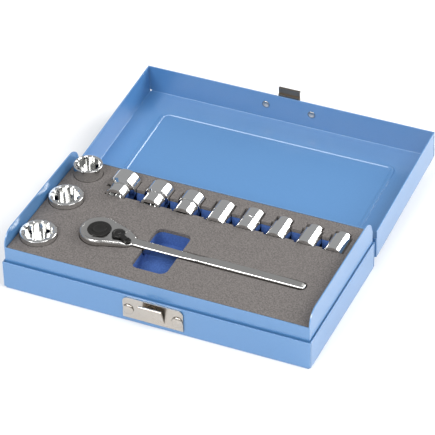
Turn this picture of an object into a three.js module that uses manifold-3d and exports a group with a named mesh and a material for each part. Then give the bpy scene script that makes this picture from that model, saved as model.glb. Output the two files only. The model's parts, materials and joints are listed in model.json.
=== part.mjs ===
// Socket wrench set in a hinged sheet-steel case: 11 twelve-point sockets, a reversible
// ratchet, a two-layer foam insert and a case with a lid, a riser liner and a front latch.
// Millimetres, +Z up, +X along the case to the right, +Y towards the hinge.
// The origin is the middle of the underside of the base tray.  The lid stands open.
import * as THREE from "three";
import { mergeVertices } from "three/addons/utils/BufferGeometryUtils.js";
import Module from "manifold-3d";

const wasm = await Module();
wasm.setup();

// ---- driving dimensions -------------------------------------------------------------
// case
const CASE_LENGTH = 260;
const CASE_DEPTH = 135;
const BASE_HEIGHT = 25.5;
const LID_DEPTH = 26.9;
const SHEET = 0.9;
const FIT = 0.3; // clearance between pieces that touch on the real object
const CORNER_SLIT = 0.5; // open seam between neighbouring walls of a folded tray
const SLIT_REACH = 3; // how far a corner slit runs into both walls
const LINER_GAP = 0.6; // liner to tray wall, which the lid flanges drop outside of
const LINER_FRONT_GAP = 1.6; // wider in front, where the set rivets of the lid pass behind the flange
const RISER_FRONT_RADIUS = 12;
const RISER_REAR_RADIUS = 14;
const RISER_SETBACK = 1.5; // rear edge of the side risers, in front of the back strip
const RIB_HEIGHT = 0.6; // pressed stiffening ribs of the lid
const RIB_WIDTH = 3;
const RIB_INSET = 24;
const RIB_CORNER = 8;
// hinge
const LID_OPEN = 176; // degrees
const HINGE_RISE = 3.8; // hinge axis above the rim of the tray
const HINGE_CLEAR = 0.4; // barrel to the edge of the sheet that it doesn't belong to
const BARREL_RADIUS = 2.2;
const BARREL_INSET = 4; // end of the barrel to the side wall
const BARREL_SEGMENTS = 5;
const PIN_RADIUS = 1;
// foam
const FOAM_RISE = 12.7; // foam top above the rim of the tray
const TOP_LAYER = 3.6;
const FOAM_GAP = 0.5; // foam to liner
const POCKET_DEPTH = 14.5;
const POCKET_GAP = 0.5; // foam to tool
// The foam is cut from whole sheets.  It is held here in blocks with a hairline seam between
// them, each simple enough to stay open where its pockets are.
const FOAM_SEAM_X = -93; // between the standing sockets and the rest
const FOAM_SEAM_Y = 16; // between the ratchet and the row
// finger hole across the handle slot, measured from the middle of the ratchet head
const FINGER_HOLE = { x0: 39.3, x1: 69.1, y0: -28.2, y1: 24.9, radius: 6 };
// latch
const LATCH_WIDTH = 51;
const LATCH_SHEET = 1;
const LATCH_CORNER = 4;
const LATCH_BOTTOM = 5;
const LATCH_DROP = 1.5; // latch plate below the rim of the tray
const LEAF_WIDTH = 19.6;
const LEAF_ROOT = 8.6;
const LEAF_REACH = 4.3;
const LEAF_DROP = 1.4; // centre of the rolled lip below the top of the plate
const LIP_RADIUS = 0.7;
const LEAF_BEND = 2; // height of the upright foot of the leaf
const CATCH_GAP = 2; // lower edge of the catch plate above the rim of the tray
const CATCH_RISE = 20.5; // its upper edge above that rim
const HOOK_DROP = 7; // end of the hook below that rim
const BARB = { out: 0.9, height: 1.4 };
const RIVET_SPACING = 41.5;
const RIVET_SHANK = 1.6;
const RIVET_HEAD = 4.6;
const RIVET_TAIL = 3.4;
const RIVET_RISE = 1.8;
const TAIL_RISE = 0.8;
const RIVET_DROP = 12; // latch rivets below the rim of the tray
const RIVET_LIFT = 11.9; // catch rivets above it, with the lid shut
// sockets
const DRIVE_SQUARE = 9.7; // female square of a 3/8 inch drive
const DRIVE_END = 17.6; // diameter of the drive end of the small sockets
const SOCKET_CHAMFER = 0.7;
const SOCKET_GROOVE = { depth: 0.35, half: 0.3 }; // turned ring where the two diameters meet
const SQUARE_SHARE = 0.38; // part of the length that the square hole takes
const POINTS_SHARE = 0.46; // part of the length below the twelve-point hole
const POINT_ROOT = 0.9; // inner corners of the twelve points against the outer ones
const BORE_STEP = 1.6; // through bore inside half the square
const STANDING_STEP = 0.6; // wrench end of a standing socket, as part of its length
const ROW_LENGTH = 25.4;
const ROW_FRONT = 28.9; // drive ends of the row
const TROUGH_FRONT = 30.4;
const TROUGH_BACK = 43.7;
// wrench: diameter of the wrench end; bore: across the points of the twelve-point hole;
// step: length of the wrench end measured from its mouth
const ROW = [
  { x: -78, wrench: 24, bore: 18.9, step: 15 },
  { x: -47.4, wrench: 21.8, bore: 17.1, step: 14 },
  { x: -19.1, wrench: 20, bore: 15.4, step: 13 },
  { x: 8.7, wrench: 17.8, bore: 13.7, step: 12 },
  { x: 34, wrench: 17.4, bore: 12, step: 12 },
  { x: 59.8, wrench: 15, bore: 10.5, step: 8 },
  { x: 85.5, wrench: 14.4, bore: 9.6, step: 6 },
  { x: 109.3, wrench: 13.8, bore: 9, step: 5 },
];
const STANDING = [
  { x: -110.9, y: -40.7, wrench: 29.5, bore: 24, length: 30, rise: 4.7, drive: 24 },
  { x: -111.9, y: 10.1, wrench: 28.2, bore: 22.4, length: 30, rise: 4.9, drive: 23 },
  { x: -110.8, y: 48.3, wrench: 24.1, bore: 20.6, length: 29, rise: 10.2, drive: 21 },
];
// ratchet, measured from the middle of its head with +X along the handle
const HEAD_X = -67.6;
const HEAD_Y = -20.1;
const HEAD_SINK = 2.2; // middle of the head below the foam top
const HEAD_RADIUS = 16;
const HEAD_HALF = 7.2;
const NECK_X = 30;
const NECK_HALF = 5;
const SHOULDER = { x: 21.5, y: 9.8 };
const SHOULDER_ANGLE = 57.5; // degrees from the handle where the round of the head ends
const COVER_INSET = 2.5;
const COVER_THICK = 1.7;
const SHANK_RADIUS = 4.5;
const WAIST_START = 66;
const WAIST_RADIUS = 3.4;
const GRIP_START = 90;
const GRIP_RADIUS = 4.6;
const GRIP_FLARE = 8;
const GRIP_LENGTH = 30;
const GRIP_END_RADIUS = 3.8;
const HANDLE_SLOT_HALF = 5.4; // half width of the foam slot around the handle
const HANDLE_END = 174.6;
const GEAR_RADIUS = 10.9;
const TOOTH_DEPTH = 0.8;
const GEAR_ROOM = 0.5; // gear to the wall of its cavity
const GEAR_TEETH = 24;
const GEAR_BOTTOM = -4.9;
const GEAR_TOP = 2;
const HUB_RADIUS = 9.4;
const ROOF = 2.8; // thickness of the head over the gear
const BUTTON_RADIUS = 6;
const BUTTON_TRAVEL = 2;
const BUTTON_PROUD = 0.6;
const BUTTON_DEPTH = 4;
const DRIVE_BOTTOM = -18.4;
const DRIVE_NECK = 6.5; // radius of the round neck above the square
const BALL_RADIUS = 1.7;
const BALL_SINK = 0.9; // centre of the ball inside the face of the square
const BALL_LIFT = 4.6; // and above its end
const LEVER_X = 16.8;
const LEVER_SINK = 1.5; // depth of the lever recess in the head
const LEVER_SWEEP = 53; // half angle of the recess that the lever swings in
const LEVER_BOSS = 5.5;
const LEVER_REACH = 15;
const LEVER_ANGLE = -30;
const LEVER_THICK = 2.2;
const LEVER_STEM = 2.7;
const LEVER_FINGER = { half: 2.1, round: 1.4, nib: 4.2, rise: 1 };
const PAWL_HALF = 4.6;
const PAWL_ROCK = 3; // degrees to either side of the middle
const PAWL_BACK = 18.4;
const PAWL_CORNER = 1.4;
const PAWL_ROOM = 1.6; // pawl to the sides of its cavity
const PAWL_GAP = 1.3; // pawl to the tips of the gear teeth
const SCREW_X = 22.5;
const SCREW_Y = 4;
const SCREW_RADIUS = 1.6;
const SCREW_SLOT = { half: 0.3, depth: 0.6 };

// ---- worked-out places ----------------------------------------------------------------
const HALF_L = CASE_LENGTH / 2;
const HALF_D = CASE_DEPTH / 2;
const LID_LOW = BASE_HEIGHT + FIT;
const LID_TOP = LID_LOW + LID_DEPTH;
const RISER_TOP = LID_TOP - SHEET - 2 * FIT;
const FOAM_TOP = BASE_HEIGHT + FOAM_RISE;
const LINER_OUT = SHEET + LINER_GAP;
const LINER_FRONT = -HALF_D + SHEET + LINER_FRONT_GAP;
const FOAM_IN = LINER_OUT + SHEET + FOAM_GAP;
const FOAM_FRONT = LINER_FRONT + SHEET + FOAM_GAP;
const FOAM_BOTTOM = SHEET + FIT;
const LAYER_SPLIT = FOAM_TOP - TOP_LAYER;
const POCKET_FLOOR = FOAM_TOP - POCKET_DEPTH;
const HINGE_Y = HALF_D - SHEET + BARREL_RADIUS;
const HINGE_HEIGHT = BASE_HEIGHT + HINGE_RISE;
const BARREL_SPAN = CASE_LENGTH - 2 * BARREL_INSET;
const BACK_WALL_TOP = HINGE_HEIGHT - BARREL_RADIUS - HINGE_CLEAR;
const FLANGE_LOW = HINGE_HEIGHT + BARREL_RADIUS + HINGE_CLEAR; // back flange of the shut lid
const LATCH_FACE = -HALF_D - FIT; // back of the latch plate and of the catch
const LATCH_FRONT = LATCH_FACE - LATCH_SHEET;
const LEAF_FACE = LATCH_FRONT - FIT; // back of the leaf and of the hook, in front of the plate
const LATCH_TOP = BASE_HEIGHT - LATCH_DROP;
const LEAF_TOP = LATCH_TOP - LEAF_DROP;
const CATCH_BOTTOM = BASE_HEIGHT - HOOK_DROP;
const BASE_RIVET_HEIGHT = BASE_HEIGHT - RIVET_DROP;
const LID_RIVET_HEIGHT = BASE_HEIGHT + RIVET_LIFT;
const HEAD_Z = FOAM_TOP - HEAD_SINK;
const BORE_RADIUS = DRIVE_SQUARE / 2 - BORE_STEP;
const DRIVE_MALE = DRIVE_SQUARE - FIT;
const GEAR_ROOT = GEAR_RADIUS - TOOTH_DEPTH;
const PAWL_FACE = GEAR_RADIUS + PAWL_GAP;

// ---- facets of round pieces ---------------------------------------------------------------
const COARSE = 12;
const SMALL = 14;
const ROUND = 16;
const FINE = 24;
const ARC = 5; // steps of a small rounded corner

// ---- materials --------------------------------------------------------------------------
const paint = new THREE.MeshStandardMaterial({ color: 0x6f9ad8, roughness: 0.38, metalness: 0.1 });
const nickel = new THREE.MeshStandardMaterial({ color: 0xd6d2c4, roughness: 0.3, metalness: 1 });
const chrome = new THREE.MeshStandardMaterial({ color: 0xdedede, roughness: 0.12, metalness: 1 });
const satin = new THREE.MeshStandardMaterial({ color: 0xa9a7a3, roughness: 0.35, metalness: 1 });
const black = new THREE.MeshStandardMaterial({ color: 0x2b2a29, roughness: 0.5, metalness: 0.7 });
const steel = new THREE.MeshStandardMaterial({ color: 0x9a9c9f, roughness: 0.4, metalness: 1 });
const greyFoam = new THREE.MeshStandardMaterial({ color: 0x85817b, roughness: 0.95, metalness: 0 });
const blueFoam = new THREE.MeshStandardMaterial({ color: 0x2b4ba0, roughness: 0.95, metalness: 0 });

// ---- solids -------------------------------------------------------------------------------
function solid(geometry) {
  geometry.deleteAttribute("normal");
  geometry.deleteAttribute("uv");
  const merged = mergeVertices(geometry, 1e-4);
  return new wasm.Manifold(
    new wasm.Mesh({
      numProp: 3,
      vertProperties: new Float32Array(merged.attributes.position.array),
      triVerts: new Uint32Array(merged.index.array),
    }),
  );
}

function box(x0, x1, y0, y1, z0, z1) {
  const g = new THREE.BoxGeometry(x1 - x0, y1 - y0, z1 - z0);
  return solid(g.translate((x0 + x1) / 2, (y0 + y1) / 2, (z0 + z1) / 2));
}

// upright prism of a plan outline
function prism(shape, z0, z1, curveSegments = 8) {
  const g = new THREE.ExtrudeGeometry(shape, { depth: z1 - z0, bevelEnabled: false, curveSegments });
  return solid(g.translate(0, 0, z0));
}

// body turned about the +Z axis from [radius, height] pairs that start and end on the axis
function turned(profile, segments = ROUND) {
  const points = profile.map(([r, z]) => new THREE.Vector2(r, z));
  return solid(new THREE.LatheGeometry(points, segments).rotateX(Math.PI / 2));
}

function rod(radius, z0, z1, segments = ROUND) {
  const g = new THREE.CylinderGeometry(radius, radius, z1 - z0, segments);
  return solid(g.rotateX(Math.PI / 2).translate(0, 0, (z0 + z1) / 2));
}

function join(pieces) {
  return pieces.reduce((sum, piece) => sum.add(piece));
}

function cut(body, pieces) {
  return pieces.reduce((rest, piece) => rest.subtract(piece), body);
}

function roundedRect(x0, x1, y0, y1, r) {
  const s = new THREE.Shape();
  s.moveTo(x0 + r, y0).lineTo(x1 - r, y0).absarc(x1 - r, y0 + r, r, -Math.PI / 2, 0);
  s.lineTo(x1, y1 - r).absarc(x1 - r, y1 - r, r, 0, Math.PI / 2);
  s.lineTo(x0 + r, y1).absarc(x0 + r, y1 - r, r, Math.PI / 2, Math.PI);
  s.lineTo(x0, y0 + r).absarc(x0 + r, y0 + r, r, Math.PI, 1.5 * Math.PI);
  return s;
}

const object = new THREE.Group();

function place(name, body, material, parent = object) {
  const made = body.getMesh();
  const geometry = new THREE.BufferGeometry();
  geometry.setAttribute("position", new THREE.BufferAttribute(made.vertProperties, 3));
  geometry.setIndex(new THREE.BufferAttribute(made.triVerts, 1));
  const mesh = new THREE.Mesh(geometry, material);
  mesh.name = name;
  parent.add(mesh);
  return mesh;
}

// ---- hinge ----------------------------------------------------------------------------------
const SEGMENT = BARREL_SPAN / BARREL_SEGMENTS;

// turns an upright piece to lie along the hinge axis
function alongHinge(body) {
  return body.rotate([0, 90, 0]).translate([0, HINGE_Y, HINGE_HEIGHT]);
}

// One knuckle of the rolled hinge: a barrel about the pin, and the web that joins it to
// the wall (web below the axis) or to the lid flange (web above it).
function knuckle(index, webFrom, webTo) {
  const x0 = -BARREL_SPAN / 2 + index * SEGMENT + FIT / 2;
  const x1 = x0 + SEGMENT - FIT;
  const barrel = alongHinge(rod(BARREL_RADIUS, x0, x1, SMALL));
  return barrel.add(box(x0, x1, HALF_D - SHEET, HALF_D, webFrom, webTo));
}

function pinHole() {
  return alongHinge(rod(PIN_RADIUS + FIT, -HALF_L, HALF_L, COARSE));
}

// ---- base tray --------------------------------------------------------------------------------
function cornerSlits(z0, z1) {
  const slits = [];
  for (const sx of [-1, 1]) {
    for (const sy of [-1, 1]) {
      const x = sx * (HALF_L - SHEET / 2);
      const y = sy * (HALF_D - SHEET - CORNER_SLIT / 2);
      const slit = box(-SLIT_REACH / 2, SLIT_REACH / 2, -CORNER_SLIT / 2, CORNER_SLIT / 2, z0, z1);
      slits.push(slit.translate([x, y, 0]));
    }
  }
  return slits;
}

// the two holes for a pair of latch rivets, through the sheet and the wall
function rivetHoles(z) {
  const reach = LATCH_SHEET + 2 * SHEET;
  const hole = rod(RIVET_SHANK + FIT, -reach, reach, 10).rotate([90, 0, 0]);
  return [-1, 1].map((side) => hole.translate([(side * RIVET_SPACING) / 2, -HALF_D, z]));
}

// inside of a tray or lid with walls one sheet thick
function hollow(z0, z1) {
  return box(-HALF_L + SHEET, HALF_L - SHEET, -HALF_D + SHEET, HALF_D - SHEET, z0, z1);
}

function baseTray() {
  const outer = box(-HALF_L, HALF_L, -HALF_D, HALF_D, 0, BASE_HEIGHT);
  const inner = hollow(SHEET, BASE_HEIGHT + 1);
  const backRise = box(-BARREL_SPAN / 2, BARREL_SPAN / 2, HALF_D - SHEET, HALF_D, 1, BACK_WALL_TOP);
  const knuckles = [];
  for (let i = 0; i < BARREL_SEGMENTS; i += 2) {
    knuckles.push(knuckle(i, BACK_WALL_TOP - 1, HINGE_HEIGHT));
  }
  const tray = join([outer.subtract(inner), backRise, ...knuckles]);
  const slits = cornerSlits(3 * SHEET, HINGE_HEIGHT);
  return cut(tray, [pinHole(), ...slits, ...rivetHoles(BASE_RIVET_HEIGHT)]);
}

// ---- liner: a ring of sheet inside the tray whose side walls rise into the lid --------------------
function riserOutline() {
  const back = HALF_D - LINER_OUT - RISER_SETBACK;
  const rear = RISER_REAR_RADIUS;
  const front = RISER_FRONT_RADIUS;
  const s = new THREE.Shape();
  s.moveTo(LINER_FRONT, FOAM_BOTTOM).lineTo(back, FOAM_BOTTOM).lineTo(back, RISER_TOP - rear);
  s.absarc(back - rear, RISER_TOP - rear, rear, 0, Math.PI / 2);
  s.lineTo(LINER_FRONT + front, RISER_TOP);
  s.absarc(LINER_FRONT + front, RISER_TOP - front, front, Math.PI / 2, Math.PI);
  return s;
}

function liner() {
  const x = HALF_L - LINER_OUT;
  const y = HALF_D - LINER_OUT;
  const across = box(-x, x, LINER_FRONT, y, FOAM_BOTTOM, FOAM_TOP);
  const sides = [-x, x - SHEET].map((at) =>
    prism(riserOutline(), at, at + SHEET).rotate([90, 0, 0]).rotate([0, 0, 90]),
  );
  const inner = box(-x + SHEET, x - SHEET, LINER_FRONT + SHEET, y - SHEET, 0, RISER_TOP + 1);
  return join([across.subtract(inner), ...sides]);
}

// ---- foam ---------------------------------------------------------------------------------------
function socketRadius(piece) {
  return Math.max(DRIVE_END, piece.wrench) / 2;
}

function rowAxis(piece) {
  return POCKET_FLOOR + FIT + socketRadius(piece);
}

// pockets of the row: one slot for each socket and the finger trough across them
function rowPockets() {
  const top = FOAM_TOP + 1;
  const cuts = [];
  for (const piece of ROW) {
    const drive = DRIVE_END / 2 + POCKET_GAP;
    const wrench = piece.wrench / 2 + POCKET_GAP;
    const split = ROW_FRONT + ROW_LENGTH - piece.step - POCKET_GAP;
    const back = ROW_FRONT + ROW_LENGTH + POCKET_GAP;
    const front = ROW_FRONT - POCKET_GAP;
    const driveBack = wrench < drive ? split + 2 * POCKET_GAP : split;
    const wrenchFront = wrench < drive ? split + POCKET_GAP : split - POCKET_GAP;
    cuts.push(box(piece.x - drive, piece.x + drive, front, driveBack, POCKET_FLOOR, top));
    cuts.push(box(piece.x - wrench, piece.x + wrench, wrenchFront, back, POCKET_FLOOR, top));
  }
  const first = ROW[0].x - DRIVE_END / 2 - POCKET_GAP;
  const last = ROW[ROW.length - 1].x + DRIVE_END / 2 + POCKET_GAP;
  cuts.push(box(first, last, TROUGH_FRONT, TROUGH_BACK, POCKET_FLOOR, top));
  return cuts;
}

function standingFloor(piece) {
  return FOAM_TOP + piece.rise - piece.length - FIT;
}

function standingPockets() {
  return STANDING.map((piece) => {
    const pocket = rod(piece.wrench / 2 + POCKET_GAP, standingFloor(piece), FOAM_TOP + 1, FINE);
    return pocket.translate([piece.x, piece.y, 0]);
  });
}

// plan outline of the ratchet head, shrunk by inset
function headOutline(inset = 0) {
  const from = THREE.MathUtils.degToRad(SHOULDER_ANGLE);
  const shoulder = { x: SHOULDER.x - inset, y: SHOULDER.y - inset };
  const neck = { x: NECK_X - inset, y: NECK_HALF - inset / 2 };
  const bend = { x: neck.x - 2, y: shoulder.y - 2 };
  const s = new THREE.Shape();
  s.absarc(0, 0, HEAD_RADIUS - inset, from, 2 * Math.PI - from);
  s.lineTo(shoulder.x, -shoulder.y).quadraticCurveTo(bend.x, -bend.y, neck.x, -neck.y);
  s.lineTo(neck.x, neck.y).quadraticCurveTo(bend.x, bend.y, shoulder.x, shoulder.y);
  return s;
}

function ratchetPockets() {
  const top = FOAM_TOP + 1;
  const head = prism(headOutline(-POCKET_GAP), HEAD_Z - HEAD_HALF - FIT, top);
  const drive = rod(DRIVE_NECK + POCKET_GAP, HEAD_Z + DRIVE_BOTTOM - POCKET_GAP, top, FINE);
  const end = HANDLE_END + 2 * POCKET_GAP;
  const slot = roundedRect(NECK_X - 2, end, -HANDLE_SLOT_HALF, HANDLE_SLOT_HALF, GRIP_RADIUS);
  const handleSlot = prism(slot, HEAD_Z - GRIP_RADIUS - FIT, top);
  return [head, drive, handleSlot].map((piece) => piece.translate([HEAD_X, HEAD_Y, 0]));
}

function fingerHole() {
  const { x0, x1, y0, y1, radius } = FINGER_HOLE;
  const hole = prism(roundedRect(x0, x1, y0, y1, radius), POCKET_FLOOR, FOAM_TOP + 1);
  return hole.translate([HEAD_X, HEAD_Y, 0]);
}

// every pocket, as one solid to cut away
function allPockets() {
  return join([...rowPockets(), ...standingPockets(), ...ratchetPockets(), fingerHole()]);
}

// the three blocks of one layer, keyed by where they lie
function foamBlocks(z0, z1) {
  const x = HALF_L - FOAM_IN;
  const y = HALF_D - FOAM_IN;
  const seam = FIT / 2;
  return {
    left: box(-x, FOAM_SEAM_X - seam, FOAM_FRONT, y, z0, z1),
    back: box(FOAM_SEAM_X + seam, x, FOAM_SEAM_Y + seam, y, z0, z1),
    front: box(FOAM_SEAM_X + seam, x, FOAM_FRONT, FOAM_SEAM_Y - seam, z0, z1),
  };
}

// ---- latch ----------------------------------------------------------------------------------------
// Plate outline in the plane of the front wall, with its two upper corners rounded.
function plateOutline(z0, z1) {
  const w = LATCH_WIDTH / 2;
  const r = LATCH_CORNER;
  const s = new THREE.Shape();
  s.moveTo(-w, z0).lineTo(w, z0).lineTo(w, z1 - r).absarc(w - r, z1 - r, r, 0, Math.PI / 2);
  s.lineTo(-w + r, z1).absarc(-w + r, z1 - r, r, Math.PI / 2, Math.PI);
  return s;
}

// stands a plan outline up against the front, its back face at LATCH_FACE
function frontPlate(shape) {
  return prism(shape, 0, LATCH_SHEET, ARC).rotate([90, 0, 0]).translate([0, LATCH_FACE, 0]);
}

function latchPlate() {
  return cut(frontPlate(plateOutline(LATCH_BOTTOM, LATCH_TOP)), rivetHoles(BASE_RIVET_HEIGHT));
}

// the sprung leaf: leans out from its root in front of the plate and ends in a rolled lip
function latchLeaf() {
  const tip = LEAF_FACE - LEAF_REACH;
  const outer = LEAF_FACE - LATCH_SHEET;
  const s = new THREE.Shape();
  s.moveTo(LEAF_FACE, LEAF_ROOT).lineTo(LEAF_FACE, LEAF_ROOT + LEAF_BEND).lineTo(tip, LEAF_TOP);
  s.absarc(tip - LIP_RADIUS, LEAF_TOP, LIP_RADIUS, 0, Math.PI);
  s.lineTo(tip - 2 * LIP_RADIUS, LEAF_TOP - LEAF_BEND);
  s.lineTo(outer, LEAF_ROOT + LEAF_BEND / 2).lineTo(outer, LEAF_ROOT);
  const w = LEAF_WIDTH / 2;
  return prism(s, -w, w, ARC).rotate([90, 0, 0]).rotate([0, 0, 90]);
}

// Catch plate of the lid, drawn with the lid shut.  Its hook steps out over the top of the
// latch plate and runs down between that plate and the leaf.
function lidCatch() {
  const low = BASE_HEIGHT + CATCH_GAP;
  const plate = frontPlate(plateOutline(low, BASE_HEIGHT + CATCH_RISE));
  const w = LEAF_WIDTH / 2 - FIT;
  const outer = LEAF_FACE - LATCH_SHEET;
  const step = box(-w, w, outer, LATCH_FACE, LATCH_TOP + FIT, low + 1);
  const hook = box(-w, w, outer, LEAF_FACE, CATCH_BOTTOM, low);
  const barb = box(-w, w, outer - BARB.out, LEAF_FACE, CATCH_BOTTOM, CATCH_BOTTOM + BARB.height);
  return cut(join([plate, step, hook, barb]), rivetHoles(LID_RIVET_HEIGHT));
}

// dome of a rivet from its flat face out to its crown, as [radius, height] pairs
function dome(radius, face, rise) {
  const crown = [[1, 0], [0.92, 0.35], [0.62, 0.8], [0, 1]];
  return crown.map(([across, up]) => [radius * across, face + rise * up]);
}

// Rivet through the latch sheet and the wall.  Its head is outside; a set tail shows inside
// the lid, and in the tray the shank ends flush behind the liner.
function rivet(side, z, inside) {
  const outer = LATCH_SHEET + 2 * FIT;
  const inner = -SHEET - FIT;
  const tail = inside ? dome(RIVET_TAIL, inner, -TAIL_RISE).reverse() : [[0, inner]];
  const head = dome(RIVET_HEAD, outer, RIVET_RISE);
  const body = turned([...tail, [RIVET_SHANK, inner], [RIVET_SHANK, outer], ...head], SMALL);
  return body.rotate([90, 0, 0]).translate([(side * RIVET_SPACING) / 2, -HALF_D, z]);
}

// ---- lid, drawn shut about the hinge axis --------------------------------------------------------
function lidRibs() {
  const x = HALF_L - RIB_INSET;
  const y = HALF_D - RIB_INSET;
  const w = RIB_WIDTH;
  const low = LID_TOP - SHEET - RIB_HEIGHT;
  const outer = roundedRect(-x, x, -y, y, RIB_CORNER);
  const inner = roundedRect(-x + w, x - w, -y + w, y - w, RIB_CORNER - w);
  return prism(outer, low, LID_TOP - SHEET / 2, ARC).subtract(prism(inner, low - 1, LID_TOP, ARC));
}

function lidShell() {
  const outer = box(-HALF_L, HALF_L, -HALF_D, HALF_D, LID_LOW, LID_TOP);
  const inner = hollow(LID_LOW - 1, LID_TOP - SHEET);
  const x = HALF_L - SHEET;
  const backCut = box(-x, x, HALF_D - 2 * SHEET, HALF_D + 1, LID_LOW - 1, FLANGE_LOW);
  const knuckles = [];
  for (let i = 1; i < BARREL_SEGMENTS; i += 2) {
    knuckles.push(knuckle(i, HINGE_HEIGHT, FLANGE_LOW + 1));
  }
  const shell = join([cut(outer, [inner, backCut]), lidRibs(), ...knuckles]);
  const slits = cornerSlits(LID_LOW - 1, LID_TOP - 3 * SHEET);
  return cut(shell, [pinHole(), ...slits, ...rivetHoles(LID_RIVET_HEIGHT)]);
}

function hingePin() {
  return alongHinge(rod(PIN_RADIUS, -BARREL_SPAN / 2, BARREL_SPAN / 2, COARSE));
}

// ---- sockets, drawn standing on the drive end ----------------------------------------------------
// closed outline that runs between two radii, count times round
function star(outer, inner, count) {
  const points = [];
  for (let i = 0; i < 2 * count; i += 1) {
    const r = i % 2 ? inner : outer;
    const a = (i * Math.PI) / count;
    points.push(new THREE.Vector2(r * Math.cos(a), r * Math.sin(a)));
  }
  return new THREE.Shape(points);
}

function socket({ length, driveDiameter, wrench, bore, step }, segments) {
  const drive = driveDiameter / 2;
  const mouth = wrench / 2;
  const edge = SOCKET_CHAMFER;
  const { depth, half } = SOCKET_GROOVE;
  const ring = Math.min(drive, mouth) - depth;
  const split = length - step;
  const shoulder = split + 2 * half + Math.abs(mouth - drive) * 0.4;
  const profile = [
    [0, 0], [drive - edge, 0], [drive, edge], [drive, split - 2 * half], [ring, split - half],
    [ring, split + half], [mouth, shoulder], [mouth, length - edge], [mouth - edge, length], [0, length],
  ];
  const flat = DRIVE_SQUARE / 2;
  const square = box(-flat, flat, -flat, flat, -1, length * SQUARE_SHARE);
  const through = rod(BORE_RADIUS, -1, length + 1, COARSE);
  const twelve = star(bore / 2, (bore / 2) * POINT_ROOT, 12);
  return cut(turned(profile, segments), [square, through, prism(twelve, length * POINTS_SHARE, length + 1)]);
}

// ---- ratchet ------------------------------------------------------------------------------------------
function ratchetHandle() {
  const root = NECK_X - 6; // inside the head
  const profile = [
    [0, root], [SHANK_RADIUS, root], [SHANK_RADIUS, WAIST_START], [WAIST_RADIUS, GRIP_START],
    [GRIP_RADIUS, GRIP_START + GRIP_FLARE], [GRIP_RADIUS, GRIP_START + GRIP_LENGTH],
    [GRIP_END_RADIUS, HANDLE_END - 4], [GRIP_END_RADIUS - 1, HANDLE_END - 1], [0, HANDLE_END],
  ];
  return turned(profile, ROUND).rotate([0, 90, 0]);
}

// recess in the top of the head that the lever sits and swings in
function leverRecess() {
  const reach = HEAD_RADIUS + LEVER_X;
  const sweep = THREE.MathUtils.degToRad(LEVER_SWEEP);
  const s = new THREE.Shape();
  s.moveTo(0, 0).lineTo(reach * Math.cos(sweep), -reach * Math.sin(sweep));
  s.lineTo(reach * Math.cos(sweep), reach * Math.sin(sweep));
  const fan = prism(s, HEAD_HALF - LEVER_SINK, HEAD_HALF + 1);
  const round = rod(LEVER_BOSS + FIT, HEAD_HALF - LEVER_SINK, HEAD_HALF + 1);
  return fan.add(round).translate([LEVER_X, 0, 0]);
}

// one copy of a piece at each cover screw
function atScrews(body) {
  return [-1, 1].map((side) => body.translate([SCREW_X, side * SCREW_Y, 0]));
}

function ratchetBody() {
  const head = prism(headOutline(), -HEAD_HALF, HEAD_HALF, COARSE);
  const ceiling = HEAD_HALF - ROOF;
  const coverSeat = -HEAD_HALF + COVER_THICK + FIT;
  const pawlHalf = PAWL_HALF + PAWL_ROOM;
  const cavities = [
    prism(headOutline(COVER_INSET), -HEAD_HALF - 1, coverSeat, COARSE),
    rod(GEAR_RADIUS + GEAR_ROOM, coverSeat - 1, ceiling, FINE),
    rod(HUB_RADIUS + FIT, 0, HEAD_HALF + 1, FINE),
    box(GEAR_RADIUS / 2, PAWL_BACK + 3 * FIT, -pawlHalf, pawlHalf, coverSeat - 1, ceiling),
    leverRecess(),
    rod(LEVER_STEM + FIT, 0, HEAD_HALF + 1).translate([LEVER_X, 0, 0]),
    ...atScrews(rod(SCREW_RADIUS + FIT, coverSeat - 1, 1, COARSE)),
  ];
  return cut(join([head, ratchetHandle()]), cavities);
}

function driveGear() {
  const half = DRIVE_MALE / 2;
  const neckLow = -HEAD_HALF - 0.8;
  const square = box(-half, half, -half, half, DRIVE_BOTTOM, neckLow + 1);
  const tip = DRIVE_NECK - 1.2;
  const chamfer = turned(
    [[0, DRIVE_BOTTOM], [tip, DRIVE_BOTTOM], [DRIVE_NECK, DRIVE_BOTTOM + 1.6], [DRIVE_NECK, 0], [0, 0]], FINE,
  );
  const body = join([
    prism(star(GEAR_RADIUS, GEAR_ROOT, GEAR_TEETH), GEAR_BOTTOM, GEAR_TOP),
    rod(HUB_RADIUS, GEAR_TOP - 1, HEAD_HALF + 0.2, FINE),
    rod(DRIVE_NECK, neckLow, GEAR_BOTTOM + 1, FINE),
    square.intersect(chamfer),
  ]);
  const buttonFloor = HEAD_HALF - BUTTON_DEPTH - BUTTON_TRAVEL;
  const buttonBore = rod(BUTTON_RADIUS + FIT, buttonFloor, HEAD_HALF + 1, FINE);
  const ballBore = rod(BALL_RADIUS + FIT, half - BALL_SINK - BALL_RADIUS - 1.2, half + 1);
  const ballHole = ballBore.rotate([0, 90, 0]).translate([0, 0, DRIVE_BOTTOM + BALL_LIFT]);
  return cut(body, [buttonBore, ballHole]);
}

function releaseButton() {
  const top = HEAD_HALF + BUTTON_PROUD;
  const low = HEAD_HALF - BUTTON_DEPTH + FIT;
  const r = BUTTON_RADIUS;
  return turned([[0, low], [r, low], [r, top - 0.5], [r - 0.5, top], [0, top]], FINE);
}

function detentBall() {
  const ball = solid(new THREE.SphereGeometry(BALL_RADIUS, 10, 6));
  return ball.translate([DRIVE_MALE / 2 - BALL_SINK, 0, DRIVE_BOTTOM + BALL_LIFT]);
}

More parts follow.
